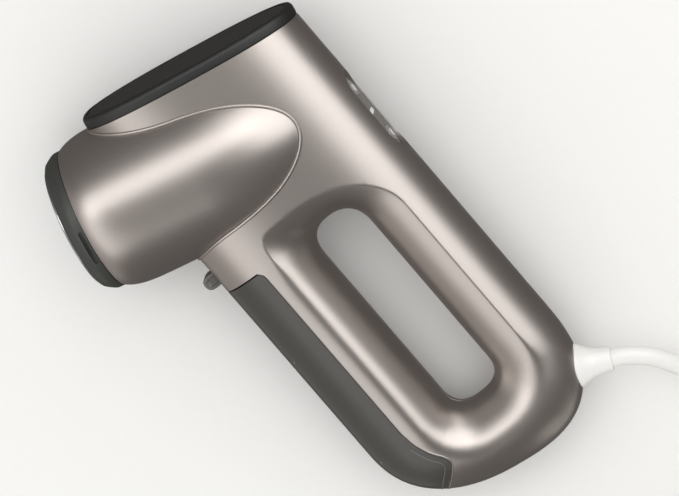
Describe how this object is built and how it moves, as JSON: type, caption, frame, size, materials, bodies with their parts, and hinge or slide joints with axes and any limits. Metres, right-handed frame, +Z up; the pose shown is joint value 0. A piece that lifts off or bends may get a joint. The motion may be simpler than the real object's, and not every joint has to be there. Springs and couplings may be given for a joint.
{
  "type": "handheld garment steamer",
  "caption": "Handheld garment steamer with a ring handle, a forward steam head, a slide-off water tank, push buttons and a white mains cord in a tied coil.",
  "frame": {"origin": "centre of the bottom of the box around the steamer, without its cord, as it lies on its side", "axes": "+X from the cap to the base, +Y from the front to the back of the handle, +Z up from the surface, across the thickness"},
  "size_m": [0.4421, 0.204, 0.075],
  "materials": {
    "painted_shell": "satin metallic titanium-grey paint on moulded plastic",
    "black_trim": "matte black moulded plastic",
    "ring_plastic": "matte charcoal heat-resistant plastic",
    "plate_metal": "satin",
    "boiler_metal": "cast",
    "steel": "bright zinc plated",
    "seal_rubber": "red silicone",
    "black_rubber": "matte",
    "heater_sheath": "oxidised",
    "ceramic": "glazed ceramic",
    "shield_mica": "mica sheet",
    "panel_grey": "satin grey",
    "button_grey": "satin light grey",
    "lens_white": "milky diffuser",
    "board": "green solder mask",
    "parts_blue": "moulded",
    "wire": "silicone insulation",
    "tank_smoke": "smoky translucent plastic",
    "inner_plastic": "moulded",
    "hose": "translucent silicone",
    "white_plastic": "satin white",
    "cord_white": "white flexible sheath"
  },
  "bodies": {
    "case": {"left_shell": "painted_shell", "right_shell": "painted_shell", "case_screws": "steel", "top_cap": "black_trim", "cap_insert": "black_trim", "head_shell": "painted_shell", "front_ring": "ring_plastic", "steam_plate": "plate_metal", "plate_gasket": "seal_rubber", "boiler_block": "boiler_metal", "boiler_lid": "boiler_metal", "boiler_screws": "steel", "heating_element": "heater_sheath", "thermostat": "ceramic", "thermal_fuse": "ceramic", "heat_shield": "shield_mica", "control_panel": "panel_grey", "indicator_lens": "lens_white", "button_board": "board", "tact_switches": "black_trim", "main_board": "board", "board_parts": "parts_blue", "heater_leads": "wire", "mains_leads": "wire", "tank_dock": "inner_plastic", "pump_body": "black_trim", "pump_mounts": "black_rubber", "inlet_hose": "hose", "outlet_hose": "hose", "terminal_block": "white_plastic", "cord_clamp": "inner_plastic", "strain_relief": "white_plastic", "cord": "cord_white", "cord_coil": "cord_white", "cord_tie": "black_rubber", "plug_body": "white_plastic", "plug_pins": "steel"},
    "tank": {"tank_shell": "tank_smoke", "tank_lid": "tank_smoke", "tank_spigot": "tank_smoke", "spigot_seal": "black_rubber"},
    "filler": {"filler_plug": "black_rubber"},
    "valve": {"valve_poppet": "white_plastic"},
    "latch": {"tank_latch": "panel_grey"},
    "power": {"power_button": "button_grey"},
    "mode": {"mode_button": "button_grey"}
  },
  "joints": [
    {"name": "tank_slide", "type": "slide", "parent": "case", "child": "tank", "axis": [-0.0014, -0.9998, -0.0174], "range_m": [0, 0.05]},
    {"name": "filler_pull", "type": "slide", "parent": "tank", "child": "filler", "axis": [0.0014, 0.9998, 0.0174], "range_m": [0, 0.005]},
    {"name": "valve_lift", "type": "slide", "parent": "tank", "child": "valve", "axis": [0.0014, 0.9998, 0.0174], "range_m": [0, 0.0015]},
    {"name": "latch_slide", "type": "slide", "parent": "case", "child": "latch", "axis": [-0.9969, 0, 0.0785], "range_m": [0, 0.0025], "stiffness_N_per_m": 300, "springref_m": -0.002},
    {"name": "power_press", "type": "slide", "parent": "case", "child": "power", "axis": [-0.0014, -0.9998, -0.0174], "range_m": [0, 0.0007], "stiffness_N_per_m": 900, "springref_m": -0.001},
    {"name": "mode_press", "type": "slide", "parent": "case", "child": "mode", "axis": [-0.0014, -0.9998, -0.0174], "range_m": [0, 0.0007], "stiffness_N_per_m": 900, "springref_m": -0.001}
  ]
}
